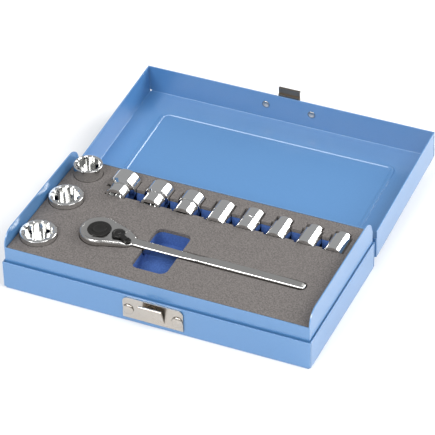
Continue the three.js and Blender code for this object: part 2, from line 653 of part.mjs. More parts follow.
function reversingLever() {
  const { half, round, nib, rise } = LEVER_FINGER;
  const low = HEAD_HALF - LEVER_SINK + FIT;
  const top = low + LEVER_THICK;
  const lever = join([
    rod(LEVER_BOSS, low, top),
    rod(LEVER_STEM, GEAR_TOP + 3 * FIT, low + 1),
    prism(roundedRect(0, LEVER_REACH, -half, half, round), low, top, ARC),
    prism(roundedRect(LEVER_REACH - nib, LEVER_REACH, -half, half, round), low, top + rise, ARC),
  ]);
  return lever.rotate([0, 0, LEVER_ANGLE]).translate([LEVER_X, 0, 0]);
}

function pawl() {
  const face = Math.asin(PAWL_HALF / PAWL_FACE);
  const s = new THREE.Shape();
  s.absarc(0, 0, PAWL_FACE, face, -face, true);
  const corner = PAWL_BACK - PAWL_CORNER;
  s.lineTo(corner, -PAWL_HALF).lineTo(PAWL_BACK, -PAWL_HALF / 3).lineTo(PAWL_BACK, PAWL_HALF / 3);
  s.lineTo(corner, PAWL_HALF);
  const body = prism(s, GEAR_BOTTOM + FIT, GEAR_TOP, ARC).translate([-LEVER_X, 0, 0]);
  return body.rotate([0, 0, -PAWL_ROCK]).translate([LEVER_X, 0, 0]);
}

function coverPlate() {
  const top = -HEAD_HALF + COVER_THICK;
  const plate = prism(headOutline(COVER_INSET + FIT), -HEAD_HALF, top, COARSE);
  const neckHole = rod(DRIVE_NECK + FIT, -HEAD_HALF - 1, 0, FINE);
  return cut(plate, [neckHole, ...atScrews(rod(SCREW_RADIUS + FIT, -HEAD_HALF - 1, 0, COARSE))]);
}

// the two slotted screws of the cover, as separate pieces
function coverScrews() {
  const low = -HEAD_HALF - 0.1;
  const { half, depth } = SCREW_SLOT;
  const slot = box(-SCREW_RADIUS, SCREW_RADIUS, -half, half, low - 1, low + depth);
  return atScrews(rod(SCREW_RADIUS, low, 0.6, COARSE).subtract(slot));
}

// ---- assembly --------------------------------------------------------------------------------------------
function buildCase() {
  place("base_tray", baseTray(), paint);
  place("riser_liner", liner(), paint);
  place("hinge_pin", hingePin(), steel);
  buildFoam();
  place("latch_plate", latchPlate(), nickel);
  place("latch_leaf", latchLeaf(), nickel);
  place("latch_rivet_left", rivet(-1, BASE_RIVET_HEIGHT, false), nickel);
  place("latch_rivet_right", rivet(1, BASE_RIVET_HEIGHT, false), nickel);
}

// thin grey layer on the blue walls of the pockets, on the blue floor below them
function buildFoam() {
  const layers = [
    { name: "top", z0: LAYER_SPLIT + FIT, z1: FOAM_TOP, foam: greyFoam },
    { name: "middle", z0: POCKET_FLOOR + FIT, z1: LAYER_SPLIT, foam: blueFoam },
    { name: "floor", z0: FOAM_BOTTOM, z1: POCKET_FLOOR, foam: blueFoam },
  ];
  const pockets = allPockets();
  for (const { name, z0, z1, foam } of layers) {
    for (const [where, block] of Object.entries(foamBlocks(z0, z1))) {
      place(`foam_${name}_${where}`, block.subtract(pockets), foam);
    }
  }
}

// The lid pieces are drawn shut; the group turns them open about the hinge pin.
function buildLid() {
  const lid = new THREE.Group();
  lid.position.set(0, HINGE_Y, HINGE_HEIGHT);
  lid.rotation.x = THREE.MathUtils.degToRad(-LID_OPEN);
  const shut = new THREE.Group();
  shut.position.set(0, -HINGE_Y, -HINGE_HEIGHT);
  lid.add(shut);
  place("lid", lidShell(), paint, shut);
  place("lid_catch", lidCatch(), nickel, shut);
  place("catch_rivet_left", rivet(-1, LID_RIVET_HEIGHT, true), nickel, shut);
  place("catch_rivet_right", rivet(1, LID_RIVET_HEIGHT, true), nickel, shut);
  object.add(lid);
}

function buildSockets() {
  STANDING.forEach((piece, i) => {
    const size = { ...piece, driveDiameter: piece.drive, step: piece.length * STANDING_STEP };
    const mesh = place(`socket_standing_${i + 1}`, socket(size, FINE), chrome);
    mesh.position.set(piece.x, piece.y, standingFloor(piece) + FIT);
  });
  ROW.forEach((piece, i) => {
    const size = { ...piece, length: ROW_LENGTH, driveDiameter: DRIVE_END };
    const mesh = place(`socket_row_${i + 1}`, socket(size, ROUND), chrome);
    mesh.position.set(piece.x, ROW_FRONT, rowAxis(piece));
    mesh.rotation.x = -Math.PI / 2;
  });
}

function buildRatchet() {
  const ratchet = new THREE.Group();
  ratchet.position.set(HEAD_X, HEAD_Y, HEAD_Z);
  place("ratchet_body", ratchetBody(), satin, ratchet);
  place("ratchet_drive_gear", driveGear(), black, ratchet);
  place("ratchet_release_button", releaseButton(), black, ratchet);
  place("ratchet_detent_ball", detentBall(), steel, ratchet);
  place("ratchet_reversing_lever", reversingLever(), black, ratchet);
  place("ratchet_pawl", pawl(), steel, ratchet);
  place("ratchet_cover_plate", coverPlate(), satin, ratchet);
  const [right, left] = coverScrews();
  place("ratchet_cover_screw_left", left, steel, ratchet);
  place("ratchet_cover_screw_right", right, steel, ratchet);
  object.add(ratchet);
}

buildCase();
buildLid();
buildSockets();
buildRatchet();

export default object;
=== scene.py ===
# %% [markdown]
# # A socket set in its hinged steel case
# The case is folded from thin sheet, the insert is two layers of foam, and the tools are forged
# and plated.  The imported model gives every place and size, so each piece here is drawn where
# its solid already stands.  Lengths are in metres, and MM turns millimetres into them.

# %% Load the frame
import json
import math

import bmesh
import bpy
from mathutils import Matrix, Vector


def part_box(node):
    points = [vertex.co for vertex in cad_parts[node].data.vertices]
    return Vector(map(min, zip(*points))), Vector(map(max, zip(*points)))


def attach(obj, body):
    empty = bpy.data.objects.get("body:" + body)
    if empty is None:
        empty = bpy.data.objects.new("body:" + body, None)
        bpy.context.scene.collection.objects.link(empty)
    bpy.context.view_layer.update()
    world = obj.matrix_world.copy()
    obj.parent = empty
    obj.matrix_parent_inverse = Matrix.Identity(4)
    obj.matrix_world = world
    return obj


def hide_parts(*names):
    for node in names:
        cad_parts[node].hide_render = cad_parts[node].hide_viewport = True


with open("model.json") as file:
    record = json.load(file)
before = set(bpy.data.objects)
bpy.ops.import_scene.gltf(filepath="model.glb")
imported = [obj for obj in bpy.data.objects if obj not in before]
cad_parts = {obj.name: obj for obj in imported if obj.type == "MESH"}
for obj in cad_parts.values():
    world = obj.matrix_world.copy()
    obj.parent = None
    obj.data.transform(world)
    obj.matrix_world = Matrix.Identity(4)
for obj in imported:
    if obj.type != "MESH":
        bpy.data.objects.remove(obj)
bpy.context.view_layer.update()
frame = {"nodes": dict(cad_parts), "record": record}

MM = 0.001
nodes = frame["nodes"]

# %% [markdown]
# ## Camera
# A long lens from the front right flattens the perspective, as product pictures do.  It could
# be aimed with a Track To constraint, but a matrix made from two angles and a small roll says
# exactly where the camera looks, and it has nothing left to solve.

# %% Camera
CAMERA_PLACE = Vector((0.6588, -1.3934, 1.2263))
AZIMUTH, ELEVATION, ROLL = (math.radians(v) for v in (24.456, 37.143, -1.1765))

back = Vector((math.sin(AZIMUTH) * math.cos(ELEVATION), -math.cos(AZIMUTH) * math.cos(ELEVATION),
               math.sin(ELEVATION)))
level = Vector((math.cos(AZIMUTH), math.sin(AZIMUTH), 0))
axes = Matrix((level, back.cross(level), back)).transposed()
camera = bpy.data.objects.new("camera", bpy.data.cameras.new("camera"))
bpy.context.scene.collection.objects.link(camera)
turn = axes @ Matrix.Rotation(ROLL, 3, "Z")
camera.matrix_world = Matrix.Translation(CAMERA_PLACE) @ turn.to_4x4()
camera.data.sensor_width = 36
camera.data.lens = 206
bpy.context.scene.camera = camera
print("camera", [round(v, 3) for v in camera.location])

# %% [markdown]
# ## Floor and light
# Chrome shows its surroundings more than itself.  A uniform white room would turn it flat, so
# the room is mid grey and a few large panels stand in it.  A lying cylinder mirrors a panel as
# a stripe, and the one at the back right draws the white band along each socket.  The floor is
# plain and pale, and its own reflection is what makes the upright walls look paler.

# %% Floor and light
SCENE = bpy.context.scene
SCENE.view_settings.view_transform = "Standard"


def plain_material(name, colour, roughness):
    made = bpy.data.materials.new(name)
    made.use_nodes = True
    shader = made.node_tree.nodes["Principled BSDF"]
    shader.inputs["Base Color"].default_value = (*colour, 1)
    shader.inputs["Roughness"].default_value = roughness
    return made


def softbox(name, place, aim, size, power):
    data = bpy.data.lights.new(name, "AREA")
    data.shape = "RECTANGLE"
    data.size, data.size_y = size
    data.energy = power
    lamp = bpy.data.objects.new(name, data)
    SCENE.collection.objects.link(lamp)
    lamp.location = place
    lamp.rotation_euler = (Vector(aim) - Vector(place)).to_track_quat("-Z", "Y").to_euler()


FLOOR_HALF = 6
floor_mesh = bpy.data.meshes.new("floor")
signs = ((-1, -1), (1, -1), (1, 1), (-1, 1))
floor_corners = [(x * FLOOR_HALF, y * FLOOR_HALF, 0) for x, y in signs]
floor_mesh.from_pydata(floor_corners, [], [(0, 1, 2, 3)])
floor = bpy.data.objects.new("floor", floor_mesh)
SCENE.collection.objects.link(floor)
floor_mesh.materials.append(plain_material("pale_floor", (0.9, 0.9, 0.9), 0.9))

world = bpy.data.worlds.new("studio")
world.use_nodes = True
world.node_tree.nodes["Background"].inputs["Color"].default_value = (0.80, 0.81, 0.83, 1)
world.node_tree.nodes["Background"].inputs["Strength"].default_value = 0.5
SCENE.world = world
softbox("back_right_panel", (0.95, 1.0, 0.75), (0, 0.0, 0.03), (1.1, 0.9), 20)
softbox("front_panel", (-0.45, -1.25, 1.3), (0, 0, 0), (1.1, 0.7), 26)
softbox("right_high_panel", (1.0, -0.4, 1.4), (0, 0.05, 0), (0.9, 0.9), 11)

# %% [markdown]
# ## Shared effects
# Three effects turn up in most finishes here: a slow drift of tone, a fine grain that bumps the
# surface, and thin wear on the edges.  Each is a node group, built once and placed with its own
# values.  The groups give masks and heights only; the shader stays in the material.

# %% Node groups


def node_group(name, inputs, outputs):
    group = bpy.data.node_groups.new(name, "ShaderNodeTree")
    for label, value in inputs.items():
        socket = group.interface.new_socket(label, in_out="INPUT", socket_type="NodeSocketFloat")
        socket.default_value = value
    for label in outputs:
        group.interface.new_socket(label, in_out="OUTPUT", socket_type="NodeSocketFloat")
    return group, group.nodes.new("NodeGroupInput"), group.nodes.new("NodeGroupOutput")


def drift_group():
    group, given, out = node_group("tone_drift", {"Scale": 20.0}, ["Mask"])
    place = group.nodes.new("ShaderNodeTexCoord")
    cloud = group.nodes.new("ShaderNodeTexNoise")
    cloud.inputs["Detail"].default_value = 3
    group.links.new(place.outputs["Object"], cloud.inputs["Vector"])
    group.links.new(given.outputs["Scale"], cloud.inputs["Scale"])
    group.links.new(cloud.outputs["Fac"], out.inputs["Mask"])
    return group


def grain_group():
    given_values = {"Scale": 900.0, "Stretch": 1.0, "Contrast": 1.0}
    group, given, out = node_group("fine_grain", given_values, ["Height"])
    place = group.nodes.new("ShaderNodeTexCoord")
    stretch = group.nodes.new("ShaderNodeVectorMath")
    stretch.operation = "MULTIPLY"
    sides = group.nodes.new("ShaderNodeCombineXYZ")
    sides.inputs["Y"].default_value = 1
    sides.inputs["Z"].default_value = 1
    speck = group.nodes.new("ShaderNodeTexNoise")
    speck.inputs["Detail"].default_value = 4
    apart = group.nodes.new("ShaderNodeMath")
    apart.operation = "SUBTRACT"
    apart.inputs[1].default_value = 0.5
    spread = group.nodes.new("ShaderNodeMath")
    spread.operation = "MULTIPLY_ADD"
    spread.use_clamp = True
    spread.inputs[2].default_value = 0.5
    group.links.new(given.outputs["Stretch"], sides.inputs["X"])
    group.links.new(place.outputs["Object"], stretch.inputs[0])
    group.links.new(sides.outputs["Vector"], stretch.inputs[1])
    group.links.new(stretch.outputs["Vector"], speck.inputs["Vector"])
    group.links.new(given.outputs["Scale"], speck.inputs["Scale"])
    group.links.new(speck.outputs["Fac"], apart.inputs[0])
    group.links.new(apart.outputs["Value"], spread.inputs[0])
    group.links.new(given.outputs["Contrast"], spread.inputs[1])
    group.links.new(spread.outputs["Value"], out.inputs["Height"])
    return group


def wear_group():
    group, given, out = node_group("edge_wear", {"Amount": 0.5}, ["Mask"])
    surface = group.nodes.new("ShaderNodeNewGeometry")
    rounded = group.nodes.new("ShaderNodeBevel")
    rounded.inputs["Radius"].default_value = 0.5 * MM
    agree = group.nodes.new("ShaderNodeVectorMath")
    agree.operation = "DOT_PRODUCT"
    differ = group.nodes.new("ShaderNodeMapRange")
    differ.inputs["From Min"].default_value = 0.995
    differ.inputs["From Max"].default_value = 0.75
    share = group.nodes.new("ShaderNodeMath")
    share.operation = "MULTIPLY"
    group.links.new(surface.outputs["True Normal"], agree.inputs[0])
    group.links.new(rounded.outputs["Normal"], agree.inputs[1])
    group.links.new(agree.outputs["Value"], differ.inputs["Value"])
    group.links.new(differ.outputs["Result"], share.inputs[0])
    group.links.new(given.outputs["Amount"], share.inputs[1])
    group.links.new(share.outputs["Value"], out.inputs["Mask"])
    return group


DRIFT, GRAIN, WEAR = drift_group(), grain_group(), wear_group()
print("groups", [g.name for g in (DRIFT, GRAIN, WEAR)])

# %% [markdown]
# ## Finishes
# Every finish here is the same recipe with other values: a base colour that drifts a little, a
# worn tone on the edges, a roughness that drifts, and a grain that bumps it.  One function
# holds the recipe, so that a finish reads as a single line of its own values.

# %% The recipe
DRIFT_SCALE = 20
RELIEF_DEPTH = 0.3 * MM


def finish(name, colour, drift_colour, wear_colour, roughness, metallic=0.0, grain=900, bump=0.05,
           stretch=1.0, contrast=1.0, wear=0.4, **fixed):
    """The grain blends the colours, roughness is a (low, high) pair, fixed holds plain sockets."""
    made = bpy.data.materials.new(name)
    made.use_nodes = True
    tree = made.node_tree
    shader = tree.nodes["Principled BSDF"]
    shader.inputs["Metallic"].default_value = metallic
    for label, value in fixed.items():
        shader.inputs[label.replace("_", " ")].default_value = value

    def placed(group, **values):
        node = tree.nodes.new("ShaderNodeGroup")
        node.node_tree = group
        for label, value in values.items():
            node.inputs[label].default_value = value
        return node

    drift = placed(DRIFT, Scale=DRIFT_SCALE)
    fine = placed(GRAIN, Scale=grain, Stretch=stretch, Contrast=contrast)
    worn = placed(WEAR, Amount=wear)
    tone = tree.nodes.new("ShaderNodeMix")
    tone.data_type = "RGBA"
    tone.inputs["A"].default_value = (*colour, 1)
    tone.inputs["B"].default_value = (*drift_colour, 1)
    rubbed = tree.nodes.new("ShaderNodeMix")
    rubbed.data_type = "RGBA"
    rubbed.inputs["B"].default_value = (*wear_colour, 1)
    low, high = roughness
    rough = tree.nodes.new("ShaderNodeMapRange")
    rough.inputs["To Min"].default_value = low
    rough.inputs["To Max"].default_value = high
    relief = tree.nodes.new("ShaderNodeBump")
    relief.inputs["Strength"].default_value = bump
    relief.inputs["Distance"].default_value = RELIEF_DEPTH
    links = tree.links
    links.new(fine.outputs["Height"], tone.inputs["Factor"])
    links.new(tone.outputs["Result"], rubbed.inputs["A"])
    links.new(worn.outputs["Mask"], rubbed.inputs["Factor"])
    links.new(rubbed.outputs["Result"], shader.inputs["Base Color"])
    links.new(drift.outputs["Mask"], rough.inputs["Value"])
    links.new(rough.outputs["Result"], shader.inputs["Roughness"])
    links.new(fine.outputs["Height"], relief.inputs["Height"])
    links.new(relief.outputs["Normal"], shader.inputs["Normal"])
    return made


# %% [markdown]
# Baked enamel has a faint orange peel and thins to a paler tone on folded edges.  Nickel plate
# is warm, chrome is neutral and almost a mirror, and the ratchet's satin plate is blasted.
# Foam is all grain: it has cells, so its tone changes from one speck to the next.  The catch is
# the same nickel in a darker, rougher copy, and its darkness is painted shade.

# %% The finishes of this set
FINISH = {
    "blue_paint": finish("blue_paint", (0.077, 0.218, 0.45), (0.090, 0.243, 0.49),
                         (0.38, 0.54, 0.76), (0.26, 0.34), grain=700, bump=0.02, wear=0.5,
                         IOR=1.75, Coat_Weight=0.6, Coat_Roughness=0.22),
    "nickel": finish("nickel", (0.52, 0.48, 0.43), (0.57, 0.53, 0.48), (0.80, 0.77, 0.71),
                     (0.20, 0.34), metallic=1.0, grain=500, bump=0.03, stretch=8.0),
    "chrome": finish("chrome", (0.74, 0.74, 0.73), (0.82, 0.82, 0.81), (0.92, 0.92, 0.91),
                     (0.05, 0.10), metallic=1.0, grain=2500, bump=0.002),
    "satin_chrome": finish("satin_chrome", (0.56, 0.55, 0.53), (0.64, 0.63, 0.61),
                           (0.86, 0.85, 0.83), (0.16, 0.26), metallic=1.0, grain=1600,
                           bump=0.03, wear=0.7),
    "black_oxide": finish("black_oxide", (0.020, 0.020, 0.019), (0.035, 0.034, 0.032),
                          (0.16, 0.15, 0.14), (0.35, 0.50), metallic=0.6, grain=1500, bump=0.05),
    "plain_steel": finish("plain_steel", (0.48, 0.48, 0.49), (0.58, 0.58, 0.59), (0.72, 0.72, 0.72),
                          (0.26, 0.38), metallic=1.0, grain=1200, bump=0.04, stretch=5.0),
    "grey_foam": finish("grey_foam", (0.066, 0.060, 0.057), (0.212, 0.192, 0.182),
                        (0.11, 0.10, 0.095), (0.88, 1.0), grain=1000, contrast=2.2,
                        bump=0.6, wear=0.3),
    "blue_foam": finish("blue_foam", (0.030, 0.080, 0.27), (0.070, 0.160, 0.45), (0.09, 0.20, 0.52),
                        (0.85, 1.0), grain=1000, contrast=1.8, bump=0.5, wear=0.3),
}
# A darker copy of the nickel for the catch: its darkness is painted shade.
SHADED_NICKEL = finish("nickel_painted_shade", (0.165, 0.140, 0.110), (0.215, 0.185, 0.150), (0.50, 0.46, 0.40),
                    (0.38, 0.50), metallic=1.0, grain=500, bump=0.03, stretch=8.0)
SLOT_OF = {part["node"]: part["material_slot"] for part in frame["record"]["subparts"]}
BODIES = frame["record"]["behaviour"]["bodies"]
BODY_OF = {node: body for body, members in BODIES.items() for node in members}
print("finishes", len(FINISH))

# %% [markdown]
# ## Helpers for pieces
# A drawn piece takes its body and finish from the node that it stands for, so neither is ever
# typed twice.  Drawn sheet and foam get softened edges from a Bevel modifier, because no real
# edge is perfectly sharp.  Turned work gets a Weighted Normal modifier instead: its chamfers are
# drawn already, and only their shading has to stay off the long faces.

# %% Edges and shading
SOFT_ANGLE = math.radians(38)


def smooth(mesh, angle=35):
    mesh.shade_smooth()
    mesh.set_sharp_from_angle(angle=math.radians(angle))


def soften(piece, width, segments=2):
    bevel = piece.modifiers.new("soft edges", "BEVEL")
    bevel.width = width
    bevel.segments = segments
    bevel.limit_method = "ANGLE"
    bevel.angle_limit = SOFT_ANGLE
    bevel.harden_normals = True


def evened(piece):
    """Lets the large faces set the normals, so that a small chamfer doesn't bend their shine."""
    even = piece.modifiers.new("even shading", "WEIGHTED_NORMAL")
    even.keep_sharp = True
    return piece


# %% Making and dressing pieces


def as_object(name, bm):
    mesh = bpy.data.meshes.new(name)
    bm.to_mesh(mesh)
    bm.free()
    made = bpy.data.objects.new(name, mesh)
    SCENE.collection.objects.link(made)
    return made


def applied(piece):
    """Swaps in the mesh that the piece's modifiers make, and drops the modifiers."""
    graph = bpy.context.evaluated_depsgraph_get()
    mesh = bpy.data.meshes.new_from_object(piece.evaluated_get(graph))
    piece.modifiers.clear()
    piece.data = mesh


def dressed(piece, *stood_for, angle=35):
    """Gives a drawn piece the finish and body of the nodes that it stands for."""
    first = stood_for[0]
    piece.data.materials.clear()
    piece.data.materials.append(FINISH[SLOT_OF[first]])
    smooth(piece.data, angle)
    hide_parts(*stood_for)
    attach(piece, BODY_OF[first])
    return piece


def add_piece(name, bm, node, angle=35):
    bmesh.ops.recalc_face_normals(bm, faces=bm.faces)
    return dressed(as_object(name, bm), node, angle=angle)


# %% Rings, lofts and turned work


def bridge(bm, low, high):
    """A band of quads between two rings of equally many vertices."""
    count = len(low)
    for i in range(count):
        j = (i + 1) % count
        bm.faces.new((low[i], low[j], high[j], high[i]))


def loft(bm, rings, close_ends=True):
    """Skins rings of equally many points; the ends are closed with a face each."""
    made = [[bm.verts.new(point) for point in ring] for ring in rings]
    pairs = list(zip(made, made[1:]))
    if not close_ends:
        pairs.append((made[-1], made[0]))
    for low, high in pairs:
        bridge(bm, low, high)
    if close_ends:
        bm.faces.new(made[0][::-1])
        bm.faces.new(made[-1])


def circle(radius, height, count=64):
    steps = (2 * math.pi * i / count for i in range(count))
    return [Vector((radius * math.cos(a), radius * math.sin(a), height)) for a in steps]


def turned(name, node, profile, place, count=64):
    """A round piece from (radius, height) pairs in millimetres, moved by the matrix place."""
    bm = bmesh.new()
    loft(bm, [circle(radius * MM, height * MM, count) for radius, height in profile])
    bmesh.ops.transform(bm, matrix=place, verts=bm.verts)
    return evened(add_piece(name, bm, node))


def centre(node):
    low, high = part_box(node)
    return (Vector(low) + Vector(high)) / 2


# %% [markdown]
# ## Sockets
# A socket is turned on a lathe, then broached: twelve points at the mouth, a square at the
# drive end.  Boolean cuts would leave long thin faces that spoil a mirror finish.  Here each
# level is one ring of points whose distance from the axis is a formula, a circle outside and a
# double hexagon or a square inside, so one skin makes the whole closed shape with even quads.

# %% Ring formulas
AROUND = 144
DRIVE_SQUARE = 9.7
DRIVE_END = 17.6
KNURL_DEPTH = 0.05
HEX_TIP = 1.1547  # across the points of a hexagon against across its flats
CORNER_SHARE = 1.33  # corner of the drive square against its flats, before it is rounded off
MOUTH_FLOOR, SQUARE_TOP = 0.46, 0.38  # shares of the length


def hexagon(angle, flat):
    sixth = math.pi / 3
    return flat / math.cos((angle % sixth) - sixth / 2)


def double_hexagon(flat):
    return lambda a: max(hexagon(a, flat), hexagon(a + math.pi / 6, flat))


def rounded_square(flat):
    return lambda a: min(flat / max(abs(math.cos(a)), abs(math.sin(a))), flat * CORNER_SHARE)


def round_section(radius):
    return lambda a: radius


def knurled(radius, depth, teeth=48):
    return lambda a: radius - depth * (0.5 - 0.5 * math.cos(teeth * a))


def section(shape, height):
    angles = (2 * math.pi * i / AROUND for i in range(AROUND))
    return [Vector((shape(a) * math.cos(a), shape(a) * math.sin(a), height)) * MM for a in angles]


# %% One socket


def socket_rings(length, drive, wrench, bore, step):
    drive_r, mouth_r, flat = drive / 2, wrench / 2, bore / 2 / HEX_TIP
    square = DRIVE_SQUARE / 2
    groove_r = min(drive_r, mouth_r) - 0.35
    split = length - step
    shoulder = split + 0.6 + abs(mouth_r - drive_r) * 0.4
    band = min(2.4, split * 0.3)
    outside = [
        (round_section(drive_r - 0.9), 0), (round_section(drive_r - 0.35), 0.15),
        (round_section(drive_r - 0.05), 0.55), (round_section(drive_r), 0.9),
        (round_section(drive_r), split - 1.2 - band),
        (knurled(drive_r, KNURL_DEPTH), split - 1.1 - band),
        (knurled(drive_r, KNURL_DEPTH), split - 1.0), (round_section(drive_r), split - 0.9),
        (round_section(drive_r), split - 0.6), (round_section(groove_r), split - 0.3),
        (round_section(groove_r), split + 0.3), (round_section(mouth_r - 0.2), shoulder - 0.2),
        (round_section(mouth_r), shoulder + 0.2), (round_section(mouth_r), length - 0.9),
        (round_section(mouth_r - 0.12), length - 0.4),
        (round_section(mouth_r - 0.45), length - 0.1), (round_section(mouth_r - 0.8), length),
    ]
    rim = flat * HEX_TIP + 0.35
    inside = [
        (round_section(rim), length), (double_hexagon(flat), length - 0.7),
        (double_hexagon(flat), length * MOUTH_FLOOR),
        (round_section(square - 1.6), length * MOUTH_FLOOR),
        (round_section(square - 1.6), length * SQUARE_TOP),
        (rounded_square(square), length * SQUARE_TOP),
        (rounded_square(square), 0.5), (rounded_square(square + 0.35), 0),
    ]
    return [section(shape, height) for shape, height in outside + inside]


def add_socket(node, place, **sizes):
    bm = bmesh.new()
    loft(bm, socket_rings(**sizes), close_ends=False)
    bmesh.ops.transform(bm, matrix=place, verts=bm.verts)
    return evened(add_piece("chrome_" + node, bm, node, angle=28))


# %% [markdown]
# The three large sockets stand on their drive ends and show the twelve points.  The other
# eight lie with the drive end forward; from the sixth on, the wrench end is the narrower one.

# %% All eleven sockets
STANDING_STEP = 0.6  # share of the length from the mouth to the step
TWIST = 0.2  # radians from one standing socket to the next, as nobody lines them up
STANDING = [dict(drive=24, wrench=29.5, bore=24), dict(drive=23, wrench=28.2, bore=22.4),
            dict(drive=21, wrench=24.1, bore=20.6)]
ROW = [dict(wrench=24, bore=18.9, step=15), dict(wrench=21.8, bore=17.1, step=14),
       dict(wrench=20, bore=15.4, step=13), dict(wrench=17.8, bore=13.7, step=12),
       dict(wrench=17.4, bore=12, step=12), dict(wrench=15, bore=10.5, step=8),
       dict(wrench=14.4, bore=9.6, step=6), dict(wrench=13.8, bore=9, step=5)]

for number, sizes in enumerate(STANDING, 1):
    node = f"socket_standing_{number}"
    low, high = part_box(node)
    length = (high[2] - low[2]) / MM
    spot = centre(node)
    twisted = Matrix.Rotation(TWIST * number, 4, "Z")
    place = Matrix.Translation((spot.x, spot.y, low[2])) @ twisted
    add_socket(node, place, length=length, step=length * STANDING_STEP, **sizes)

for number, sizes in enumerate(ROW, 1):
    node = f"socket_row_{number}"
    low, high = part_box(node)
    spot = centre(node)
    place = Matrix.Translation((spot.x, low[1], spot.z)) @ Matrix.Rotation(-math.pi / 2, 4, "X")
    add_socket(node, place, length=(high[1] - low[1]) / MM, drive=DRIVE_END, **sizes)
print("sockets", len(STANDING) + len(ROW))

# %% [markdown]
# ## Ratchet outline
# Head and handle are one forging.  In plan the head is a round that runs through two shoulders
# into the neck.  The same outline, grown or shrunk, cuts the foam, rounds the head's edges and
# seats the cover, so it is one function of an inset.  Its middle is the drive's middle.

# %% Ratchet outline
HEAD_RADIUS = 16
HEAD_HALF = 7.2
NECK = (30, 5)
SHOULDER = (21.5, 9.8)
SHOULDER_ANGLE = math.radians(57.5)
HEAD_MIDDLE = centre("ratchet_release_button")
HEAD_MIDDLE.z = centre("ratchet_body").z
HANDLE_END = (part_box("ratchet_body")[1][0] - HEAD_MIDDLE.x) / MM


def curve_points(start, bend, end, count):
    """Points along a quadratic curve, without its two ends."""
    steps = (i / count for i in range(1, count))
    ends = list(zip(start, bend, end))
    return [tuple((1 - t) ** 2 * a + 2 * t * (1 - t) * b + t * t * c for a, b, c in ends)
            for t in steps]


def head_outline(inset=0.0, round_steps=72):
    radius = HEAD_RADIUS - inset
    shoulder = (SHOULDER[0] - inset, SHOULDER[1] - inset)
    neck = (NECK[0] - inset, NECK[1] - inset / 2)
    bend = (neck[0] - 2, shoulder[1] - 2)
    span = 2 * math.pi - 2 * SHOULDER_ANGLE
    turns = (SHOULDER_ANGLE + span * i / round_steps for i in range(round_steps + 1))
    upper = [shoulder] + curve_points(shoulder, bend, neck, 8) + [neck]
    lower = [(x, -y) for x, y in upper]
    return [(radius * math.cos(a), radius * math.sin(a)) for a in turns] + lower + upper[::-1]


print("ratchet", [round(v / MM, 1) for v in HEAD_MIDDLE], "to", round(HANDLE_END, 1))

# %% [markdown]
# ## Foam
# The insert is die-cut from a thin grey sheet on a thick blue block.  Each is drawn as one
# piece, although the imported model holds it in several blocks.  Every tool gives its own cutter
# from its packed box, and one Boolean takes them all out of a layer at once.  A bevel then
# rounds the lips of the cuts, because foam never cuts to a sharp edge.

# %% Cutters
HUG = 0.25  # foam to tool
UNDER = 0.3  # foam to the underside of a tool
TROUGH = (1.5, 14.8)  # finger trough, from the front of the row
FINGER_HOLE = dict(x0=39.3, x1=69.1, y0=-28.2, y1=24.9, radius=6)
HEAD_ROOM, DRIVE_ROOM = 0.4, 7
SLOT = dict(half=5.4, radius=4.6, floor=4.9, end=0.6)  # for the handle
ABOVE = 60  # cutters end well over the foam, each a little higher than the last


def prism(bm, outline, low, high):
    loft(bm, [[Vector((x, y, z)) * MM for x, y in outline] for z in (low, high)])


def rectangle(x0, x1, y0, y1):
    return [(x0, y0), (x1, y0), (x1, y1), (x0, y1)]


def rounded_rectangle(x0, x1, y0, y1, radius, steps=8):
    middles = [(x1 - radius, y1 - radius, 0), (x0 + radius, y1 - radius, 1),
               (x0 + radius, y0 + radius, 2), (x1 - radius, y0 + radius, 3)]
    points = []
    for x, y, quarter in middles:
        for i in range(steps + 1):
            a = math.pi / 2 * (quarter + i / steps)
            points.append((x + radius * math.cos(a), y + radius * math.sin(a)))
    return points


def disc(x, y, radius, count=64):
    steps = (2 * math.pi * i / count for i in range(count))
    return [(x + radius * math.cos(a), y + radius * math.sin(a)) for a in steps]


def in_mm(node):
    low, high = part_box(node)
    return [v / MM for v in low], [v / MM for v in high]


def moved(outline, x, y):
    return [(px + x, py + y) for px, py in outline]


def socket_cutters(bm):
    for number, sizes in enumerate(STANDING, 1):
        low, high = in_mm(f"socket_standing_{number}")
        hole = disc((low[0] + high[0]) / 2, (low[1] + high[1]) / 2, sizes["wrench"] / 2 + HUG)
        prism(bm, hole, low[2] - UNDER, ABOVE)
    floors = []
    for number, sizes in enumerate(ROW, 1):
        low, high = in_mm(f"socket_row_{number}")
        x = (low[0] + high[0]) / 2
        drive, wrench = DRIVE_END / 2 + HUG, sizes["wrench"] / 2 + HUG
        split = high[1] - sizes["step"]
        floors.append(low[2] - UNDER)
        front_part = rectangle(x - drive, x + drive, low[1] - HUG, split + HUG)
        back_part = rectangle(x - wrench, x + wrench, split - HUG, high[1] + HUG)
        prism(bm, front_part, floors[-1], ABOVE)
        prism(bm, back_part, floors[-1] + 0.01, ABOVE)
    front = in_mm("socket_row_1")[0][1]
    first = centre("socket_row_1").x / MM - DRIVE_END / 2
    last = centre(f"socket_row_{len(ROW)}").x / MM + DRIVE_END / 2
    trough_floor = min(floors) - 0.02
    prism(bm, rectangle(first, last, front + TROUGH[0], front + TROUGH[1]), trough_floor, ABOVE)
    return trough_floor


def ratchet_cutters(bm, floor):
    x, y, z = (v / MM for v in HEAD_MIDDLE)
    drive_low = in_mm("ratchet_drive_gear")[0][2]
    slot = rounded_rectangle(NECK[0] - 2, HANDLE_END + SLOT["end"], -SLOT["half"], SLOT["half"],
                             SLOT["radius"])
    prism(bm, moved(head_outline(-HEAD_ROOM), x, y), z - HEAD_HALF - UNDER, ABOVE)
    prism(bm, disc(x, y, DRIVE_ROOM), drive_low - 0.5, ABOVE + 1)
    prism(bm, moved(slot, x, y), z - SLOT["floor"], ABOVE + 2)
    prism(bm, moved(rounded_rectangle(**FINGER_HOLE), x, y), floor, ABOVE + 3)


# %% Two sheets of foam


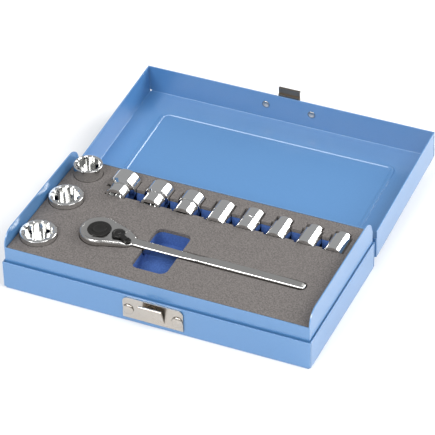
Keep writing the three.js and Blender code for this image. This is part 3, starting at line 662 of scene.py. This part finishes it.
def carve(piece, cutters):
    knife = as_object("cutters", cutters)
    cut = piece.modifiers.new("die cut", "BOOLEAN")
    cut.operation = "DIFFERENCE"
    cut.solver = "EXACT"
    cut.use_self = True
    cut.object = knife
    applied(piece)
    bpy.data.objects.remove(knife)
    return piece


def add_foam(name, finish_name, lip):
    stood_for = sorted(node for node, slot in SLOT_OF.items() if slot == finish_name)
    lows, highs = zip(*(in_mm(node) for node in stood_for))
    low, high = [min(v) for v in zip(*lows)], [max(v) for v in zip(*highs)]
    block = bmesh.new()
    prism(block, rectangle(low[0], high[0], low[1], high[1]), low[2], high[2])
    bmesh.ops.recalc_face_normals(block, faces=block.faces)
    cutters = bmesh.new()
    ratchet_cutters(cutters, socket_cutters(cutters))
    bmesh.ops.recalc_face_normals(cutters, faces=cutters.faces)
    foam = dressed(carve(as_object(name, block), cutters), *stood_for)
    soften(foam, lip * MM, 3)
    return foam


FOAMS = [("foam_sheet_grey", "grey_foam", 0.45), ("foam_block_blue", "blue_foam", 0.3)]
for name, finish_name, lip in FOAMS:
    print(name, len(add_foam(name, finish_name, lip).data.polygons), "faces")

# %% [markdown]
# ## Folded sheet
# Tray and lid are each one blank of sheet steel, notched at the corners and folded up, so their
# corners stay open as thin seams.  The skin is drawn the same way: a plate with cut corners,
# four flaps, a small radius rolled into every fold, and then a Solidify that gives the sheet its
# thickness.  A box with bevelled edges would look cast, not folded.

# %% Sheet sizes and the hinge
SHEET = 0.9
NOTCH = 1.7
FOLD_RADIUS = 1.5
FOLD_STEPS = 6
BARREL_RADIUS, PIN_ROOM = 2.2, 1.3
BARREL_INSET, BARREL_SEGMENTS, SEAM = 4, 5, 0.3
HINGE_CLEAR = 0.4  # barrel to the edge of the other sheet
SHEET_EDGE = 0.15
BEAD = dict(inset=24, width=3, slope=0.7, height=0.6, radius=8)

joints = {joint["name"]: joint for joint in frame["record"]["behaviour"]["joints"]}
hinge = Vector(joints["lid_hinge"]["pos_m"])
opened = math.radians(-joints["lid_hinge"]["range_deg"][1])
at_hinge = Matrix.Translation(hinge)
LID_OPEN = at_hinge @ Matrix.Rotation(opened, 4, "X") @ Matrix.Translation(-hinge)
TRAY_LOW, TRAY_HIGH = in_mm("base_tray")
HALF_X, HALF_Y = TRAY_HIGH[0], -TRAY_LOW[1]
HINGE_Z = hinge.z / MM
print("hinge", [round(v / MM, 2) for v in hinge])

# %% Skin of a folded tray


def plate_outline():
    """Corners of the flat plate, each with the two ends of its neighbouring folds beside it."""
    x, y = HALF_X - FOLD_RADIUS, HALF_Y - FOLD_RADIUS
    fold_x, fold_y = HALF_X - NOTCH, HALF_Y - NOTCH
    return [(-fold_x, -y), (fold_x, -y), (x, -y), (x, -fold_y), (x, fold_y), (x, y),
            (fold_x, y), (-fold_x, y), (-x, y), (-x, fold_y), (-x, -fold_y), (-x, -y)]


def add_flap(bm, root, outward, wall):
    """Rolls a fold from the two root vertices, then fills the wall above it.

    wall holds the rest of the wall's outline as (place along the fold, height) pairs."""
    along = (root[1].co - root[0].co).normalized()
    middle = (root[1].co + root[0].co) / 2
    last = root
    for step in range(1, FOLD_STEPS + 1):
        a = math.pi / 2 * step / FOLD_STEPS
        shift = (outward * math.sin(a) + Vector((0, 0, 1 - math.cos(a)))) * FOLD_RADIUS * MM
        ring = [bm.verts.new(v.co + shift) for v in root]
        bm.faces.new((last[0], last[1], ring[1], ring[0]))
        last = ring
    face = middle + outward * FOLD_RADIUS * MM
    rest = [bm.verts.new(face + along * place * MM + Vector((0, 0, height * MM)))
            for place, height in wall]
    bm.faces.new([last[0], last[1], *rest])


def folded_skin(bm, front, back, side, rise=0.0):
    """Plate at height 0 with four flaps standing on it; rise lifts the middle of the back."""
    plate = [bm.verts.new(Vector((x, y, 0)) * MM) for x, y in plate_outline()]
    wide = [(HALF_X - NOTCH, NOTCH), (HALF_X, NOTCH)]

    def full_width(height, top):
        half = wide + [(HALF_X, height)] + top
        return half + [(-place, up) for place, up in reversed(half)]

    inner = HALF_X - BARREL_INSET
    raised = [(inner, back), (inner, back + rise)] if rise else []
    narrow = HALF_Y - NOTCH
    add_flap(bm, plate[0:2], Vector((0, -1, 0)), full_width(front, []))
    add_flap(bm, plate[3:5], Vector((1, 0, 0)), [(narrow, side), (-narrow, side)])
    add_flap(bm, plate[6:8], Vector((0, 1, 0)), full_width(back, raised))
    add_flap(bm, plate[9:11], Vector((-1, 0, 0)), [(narrow, side), (-narrow, side)])
    return plate


# %% Pressed bead


def edges_between(bm, corner):
    pairs = zip(corner, corner[1:] + corner[:1])
    return [bm.edges.get(pair) or bm.edges.new(pair) for pair in pairs]


def pressed_bead(bm, around):
    """Fills the plate round a bead of sloping sides that is pressed up into it."""
    x, y, wide = HALF_X - BEAD["inset"], HALF_Y - BEAD["inset"], BEAD["width"]
    slope, height = BEAD["slope"], BEAD["height"]
    loops = []
    for inset, up in ((0, 0), (slope, height), (wide - slope, height), (wide, 0)):
        outline = rounded_rectangle(-x + inset, x - inset, -y + inset, y - inset,
                                    BEAD["radius"] - inset)
        loops.append([bm.verts.new(Vector((px, py, up)) * MM) for px, py in outline])
    for low, high in zip(loops, loops[1:]):
        bridge(bm, low, high)
    bm.faces.new(loops[-1])
    bmesh.ops.triangle_fill(bm, edges=around + edges_between(bm, loops[0]), use_beauty=True)


# %% From skin to sheet


def folded_sheet(bead=False, **heights):
    bm = bmesh.new()
    corner = folded_skin(bm, **heights)
    around = edges_between(bm, corner)
    if bead:
        pressed_bead(bm, around)
    else:
        bm.faces.new(corner[::-1])
    bmesh.ops.recalc_face_normals(bm, faces=bm.faces)
    bm.faces.ensure_lookup_table()
    plate = max(bm.faces, key=lambda face: face.calc_area())
    if plate.normal.z > 0:
        bmesh.ops.reverse_faces(bm, faces=bm.faces)
    skin = as_object("skin", bm)
    wall = skin.modifiers.new("sheet", "SOLIDIFY")
    wall.thickness = SHEET * MM
    wall.offset = -1
    wall.use_even_offset = True
    applied(skin)
    sheet = bmesh.new()
    sheet.from_mesh(skin.data)
    bpy.data.objects.remove(skin)
    return sheet


# %% [markdown]
# The hinge is rolled from the same sheet.  Each knuckle is a tongue that curls almost all the
# way round the pin, so its section is an open hook.  That outline is extruded between two ends,
# and the lid's knuckles are the same hook turned over.

# %% Rolled knuckles
CURL = math.radians(250)
CURL_STEPS = 28


def knuckle_outline(root, way):
    """Hook in the plane across the hinge: up the tongue, round the pin, and back inside."""
    turns = [math.pi - way * CURL * i / CURL_STEPS for i in range(CURL_STEPS + 1)]
    y, z = hinge.y / MM, HINGE_Z
    outside = [(y + BARREL_RADIUS * math.cos(a), z + BARREL_RADIUS * math.sin(a)) for a in turns]
    inside = [(y + PIN_ROOM * math.cos(a), z + PIN_ROOM * math.sin(a)) for a in reversed(turns)]
    return [(outside[0][0], root), *outside, *inside, (inside[-1][0], root)]


def add_knuckles(bm, start, root, way):
    segment = (2 * HALF_X - 2 * BARREL_INSET) / BARREL_SEGMENTS
    for index in range(start, BARREL_SEGMENTS, 2):
        x0 = -HALF_X + BARREL_INSET + index * segment + SEAM / 2
        outline = knuckle_outline(root, way)
        loft(bm, [[Vector((x, y, z)) * MM for y, z in outline] for x in (x0, x0 + segment - SEAM)])


# %% Tray
RIM = 25.5
BACK_RISE = HINGE_Z - BARREL_RADIUS - HINGE_CLEAR - RIM
tray = folded_sheet(front=RIM, back=RIM, side=RIM, rise=BACK_RISE)
add_knuckles(tray, 0, RIM + BACK_RISE, 1)
tray_piece = add_piece("folded_tray", tray, "base_tray")
soften(tray_piece, SHEET_EDGE * MM)
print("tray", len(tray_piece.data.polygons), "faces")

# %% [markdown]
# The lid is drawn shut, plate up, by turning the skin over, and a matrix from the hinge joint
# then lays it open.  Its bead stiffens the plate, and the slopes catch the light as thin lines.

# %% Lid
LID_DEPTH = 26.9
LID_TOP = RIM + SEAM + LID_DEPTH
FLANGE_LOW = HINGE_Z + BARREL_RADIUS + HINGE_CLEAR
lid = folded_sheet(bead=True, front=LID_TOP - FLANGE_LOW, back=LID_DEPTH, side=LID_DEPTH)
shut = Matrix.Translation((0, 0, LID_TOP * MM)) @ Matrix.Rotation(math.pi, 4, "X")
bmesh.ops.transform(lid, matrix=shut, verts=lid.verts)
add_knuckles(lid, 1, FLANGE_LOW, -1)
bmesh.ops.transform(lid, matrix=LID_OPEN, verts=lid.verts)
lid_piece = add_piece("folded_lid", lid, "lid")
soften(lid_piece, SHEET_EDGE * MM)
print("lid", len(lid_piece.data.polygons), "faces")

# %% [markdown]
# ## Latch and rivets
# The leaf is one strip of spring steel: an upright foot, a lean outwards and a rolled lip that
# the thumb pulls.  It is an outline extruded across its width.  The rivets are turned, with
# smooth domes, since a faceted dome would sparkle in flat patches.

# %% Rivets and hinge pin
RIVET_HEAD = dict(radius=4.6, rise=1.75)
RIVET_TAIL = dict(radius=3.4, rise=0.8)
RIVET_SHANK = 1.6
PLATE_FACE = 1.6  # from the outer face of the wall to the foot of the dome
TAIL_FACE = -SHEET - 0.3
OUT_OF_WALL = Matrix.Rotation(math.pi / 2, 4, "X")


def dome(radius, rise, face, steps=10):
    turns = (math.pi / 2 * i / steps for i in range(steps))
    return [(radius * math.cos(a), face + rise * math.sin(a)) for a in turns] + [
        (0.05, face + rise)]


def add_rivet(node, tail, pose):
    spot = pose.inverted() @ centre(node)
    foot = dome(face=-TAIL_FACE, **RIVET_TAIL)[::-1] if tail else []
    shank = [(RIVET_SHANK, TAIL_FACE), (RIVET_SHANK, PLATE_FACE)]
    profile = [(r, -h) for r, h in foot] + shank + dome(face=PLATE_FACE, **RIVET_HEAD)
    place = pose @ Matrix.Translation((spot.x, -HALF_Y * MM, spot.z)) @ OUT_OF_WALL
    turned("turned_" + node, node, profile, place, 48)


for side in ("left", "right"):
    add_rivet("latch_rivet_" + side, False, Matrix())
    add_rivet("catch_rivet_" + side, True, LID_OPEN)

pin_low, pin_high = in_mm("hinge_pin")
along = Matrix.Translation(hinge) @ Matrix.Rotation(math.pi / 2, 4, "Y")
pin = [(0.7, pin_low[0]), (1, pin_low[0] + 0.3), (1, pin_high[0] - 0.3), (0.7, pin_high[0])]
turned("turned_hinge_pin", "hinge_pin", pin, along, 32)
print("hinge pin", round(pin_high[0] - pin_low[0], 1), "long")

# %% Sprung leaf
LEAF_SHEET = 1.0
LIP_RADIUS = 1.15
LIP_START, LIP_SWEEP, LIP_STEPS = math.radians(20), math.radians(190), 14


def leaf_outline(low, high):
    """Section of the leaf as (y, z): up its back from the foot, round the lip, down its front."""
    back, front_foot = high[1], high[1] - LEAF_SHEET
    lip = (low[1] + LIP_RADIUS, high[2] - LIP_RADIUS)
    bend = curve_points((back, low[2] + 1.2), (back, low[2] + 2), (back - 0.7, low[2] + 4), 5)
    turns = [LIP_START + LIP_SWEEP * i / LIP_STEPS for i in range(LIP_STEPS + 1)]
    round_lip = [(lip[0] + LIP_RADIUS * math.cos(a), lip[1] + LIP_RADIUS * math.sin(a))
                 for a in turns]
    outer_bend = [(y - LEAF_SHEET, z - 0.3) for y, z in reversed(bend)]
    under = [(low[1] + 0.45, high[2] - 2.6)]
    return [(back, low[2]), *bend, (lip[0] + 0.9, lip[1] - 0.4), *round_lip, *under, *outer_bend,
            (front_foot, low[2])]


leaf_low, leaf_high = in_mm("latch_leaf")
leaf = bmesh.new()
loft(leaf, [[Vector((x, y, z)) * MM for y, z in leaf_outline(leaf_low, leaf_high)]
            for x in (leaf_low[0], leaf_high[0])])
leaf_piece = add_piece("sprung_leaf", leaf, "latch_leaf", angle=30)
soften(leaf_piece, 0.12 * MM)
print("leaf", [round(v, 2) for v in leaf_low], [round(v, 2) for v in leaf_high])

# %% [markdown]
# ## Ratchet
# A forging has no sharp corners: metal flows round them in the die.  So the head and handle are
# drawn as two overlapping skins, a voxel remesh fuses them, and a little smoothing rounds the
# join as a die would.  The bores and the lever's recess are machined afterwards, so they are
# cut last and stay crisp.

# %% Forged blank
# Inset of the outline and height, from the underside to the top.
EDGE_STEPS = [(2.4, -7.2), (1.3, -7.1), (0.5, -6.6), (0.1, -5.6), (0, -4), (0, 3.6), (0.1, 5.4),
              (0.4, 6.4), (0.9, 7.0), (1.4, 7.2), (2.1, 7.2), (2.6, 6.8), (3.2, 6.7)]
# Place along the handle, half width, half height.
HANDLE = [(24, 4.5, 4.4), (30, 4.5, 4.1), (36, 4.45, 3.8), (62, 4.4, 3.6), (74, 4.0, 3.4),
          (84, 3.45, 3.35), (92, 4.1, 3.9), (98, 4.55, 4.3), (130, 4.5, 4.3), (162, 4.1, 3.9),
          (171, 3.8, 3.6), (173.6, 2.9, 2.7), (174.4, 1.7, 1.6)]
SQUARENESS = 4.6


def neck_drop(x):
    """Share of the head's height left above its middle, which falls away to the neck."""
    t = min(max((x - 17) / 13, 0), 1)
    return 1 - 0.42 * t * t * (3 - 2 * t)


def squarish(half_width, half_height, count=48):
    power = 2 / SQUARENESS
    for i in range(count):
        c, s = math.cos(2 * math.pi * i / count), math.sin(2 * math.pi * i / count)
        wide = math.copysign(abs(c) ** power, c)
        tall = math.copysign(abs(s) ** power, s)
        yield half_width * wide, half_height * tall


def fuse(piece, voxel, rounds):
    """Remeshes overlapping skins into one and eases the joins; voxel is in millimetres."""
    fused = piece.modifiers.new("fused", "REMESH")
    fused.mode = "VOXEL"
    fused.voxel_size = voxel * MM
    eased = piece.modifiers.new("eased", "SMOOTH")
    eased.factor = 0.5
    eased.iterations = rounds
    applied(piece)


def head_ring(inset, z):
    return [Vector((x, y, z * (neck_drop(x) if z > 0 else 1))) * MM for x, y in head_outline(inset)]


blank = bmesh.new()
loft(blank, [head_ring(inset, z) for inset, z in EDGE_STEPS])
loft(blank, [[Vector((x, y, z)) * MM for y, z in squarish(wide, tall)] for x, wide, tall in HANDLE])
bmesh.ops.recalc_face_normals(blank, faces=blank.faces)
forging = as_object("forged_ratchet", blank)
fuse(forging, 0.3, 5)
print("forging", len(forging.data.polygons), "faces")

# %% Machined bores and recesses
GEAR_ROOM, HUB_ROOM, COVER_INSET = 11.4, 9.7, 2.5
COVER_SEAT, CEILING = -5.2, 4.4
LEVER_X, LEVER_BOSS, LEVER_SEAT = 16.8, 5.5, 5.7
SWEEP = math.radians(53)  # the lever's recess opens this far to each side
PAWL_ROOM = rectangle(4, 19.3, -6.2, 6.2)
PIVOT_BORE = 3
SCREW_X, SCREW_Y, SCREW_BORE = 22.5, 4, 1.9

machined = bmesh.new()
reach = HEAD_RADIUS + LEVER_X
fan = [(LEVER_X, 0), (LEVER_X + reach * math.cos(SWEEP), -reach * math.sin(SWEEP)),
       (LEVER_X + reach * math.cos(SWEEP), reach * math.sin(SWEEP))]
prism(machined, head_outline(COVER_INSET), -9, COVER_SEAT)
prism(machined, disc(0, 0, GEAR_ROOM, 72), COVER_SEAT - 0.5, CEILING)
prism(machined, disc(0, 0, HUB_ROOM, 72), 0, 9)
prism(machined, PAWL_ROOM, COVER_SEAT - 0.4, CEILING - 0.01)
prism(machined, fan, LEVER_SEAT, 9.1)
prism(machined, disc(LEVER_X, 0, LEVER_BOSS + 0.3), LEVER_SEAT - 0.01, 9.2)
prism(machined, disc(LEVER_X, 0, PIVOT_BORE, 40), 0.1, 9.3)
for way in (-1, 1):
    prism(machined, disc(SCREW_X, SCREW_Y * way, SCREW_BORE, 24), COVER_SEAT - 0.6, 1)
bmesh.ops.recalc_face_normals(machined, faces=machined.faces)
carve(forging, machined)
forging.data.transform(Matrix.Translation(HEAD_MIDDLE))
dressed(forging, "ratchet_body", angle=40)
print("machined", len(forging.data.polygons), "faces")

# %% [markdown]
# The release button and the reversing lever are small black pieces that the thumb wears smooth.
# The button is turned with a shallow dish.  The lever is a disc, a finger and a ribbed nib,
# fused by a finer remesh so that they read as one moulding.

# %% Button
button_low, button_high = in_mm("ratchet_release_button")
button_z = button_high[2] - button_low[2]
button = [(5.9, 0), (6, 0.2), (6, button_z - 0.7), (5.8, button_z - 0.25), (5.35, button_z),
          (4.7, button_z - 0.05), (4.2, button_z - 0.35), (0.1, button_z - 0.55)]
at_button = Matrix.Translation((HEAD_MIDDLE.x, HEAD_MIDDLE.y, button_low[2] * MM))
turned("turned_button", "ratchet_release_button", button, at_button, 72)
print("button", round(button_z, 1), "high")

# %% Lever
LEVER_LOW, LEVER_THICK = 6.0, 2.2
LEVER_REACH, LEVER_HALF, NIB = 15, 2.1, 4.2
LEVER_TURN = math.radians(-30)
RIBS, RIB_STEP, RIB_WIDTH, RIB_RISE = 3, 1.4, 0.75, 0.95
lever_top = LEVER_LOW + LEVER_THICK
lever = bmesh.new()
boss = [(5.3, LEVER_LOW), (5.5, LEVER_LOW + 0.3), (5.5, lever_top - 0.6), (5.1, lever_top),
        (4.1, lever_top), (3.6, lever_top - 0.45), (1.6, lever_top - 0.45), (1.2, lever_top),
        (0.2, lever_top)]
loft(lever, [circle(radius * MM, height * MM, 64) for radius, height in boss])
prism(lever, disc(0, 0, 2.7, 40), 2.9, LEVER_LOW + 1)
finger = rounded_rectangle(3, LEVER_REACH, -LEVER_HALF, LEVER_HALF, 1.4)
prism(lever, finger, LEVER_LOW, lever_top - 0.1)
for rib in range(RIBS):
    start = LEVER_REACH - NIB + rib * RIB_STEP
    crest = rounded_rectangle(start, start + RIB_WIDTH, -LEVER_HALF, LEVER_HALF, 0.3)
    prism(lever, crest, LEVER_LOW + 1, lever_top + RIB_RISE)
bmesh.ops.recalc_face_normals(lever, faces=lever.faces)
lever_piece = as_object("reversing_lever", lever)
fuse(lever_piece, 0.14, 3)
lever_at = Matrix.Translation(HEAD_MIDDLE + Vector((LEVER_X * MM, 0, 0)))
lever_piece.data.transform(lever_at @ Matrix.Rotation(LEVER_TURN, 4, "Z"))
dressed(lever_piece, "ratchet_reversing_lever", angle=45)
print("lever", len(lever_piece.data.polygons), "faces")

# %% [markdown]
# ## Nodes that keep their own shape
# Flat hardware and the pieces inside the head are already right, so they keep their meshes and
# only get a finish.  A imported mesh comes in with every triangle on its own, so a Bevel finds no
# edge to round and these edges stay sharp.  The ball shows the same trap: its subdivision rounds
# each triangle apart from the next.  A Weld modifier placed first would cure both.

# %% Finishes for the carried-over nodes
for name, node in nodes.items():
    if node.hide_render:
        continue
    for slot in node.material_slots:
        # The catch takes the darker nickel copy, whose darkness is painted shade.
        slot.material = SHADED_NICKEL if name == "lid_catch" else FINISH[SLOT_OF[name]]

ball = nodes["ratchet_detent_ball"]
smooth(ball.data)
rounder = ball.modifiers.new("round", "SUBSURF")
rounder.levels = rounder.render_levels = 2
print("kept", sorted(name for name, node in nodes.items() if not node.hide_render))
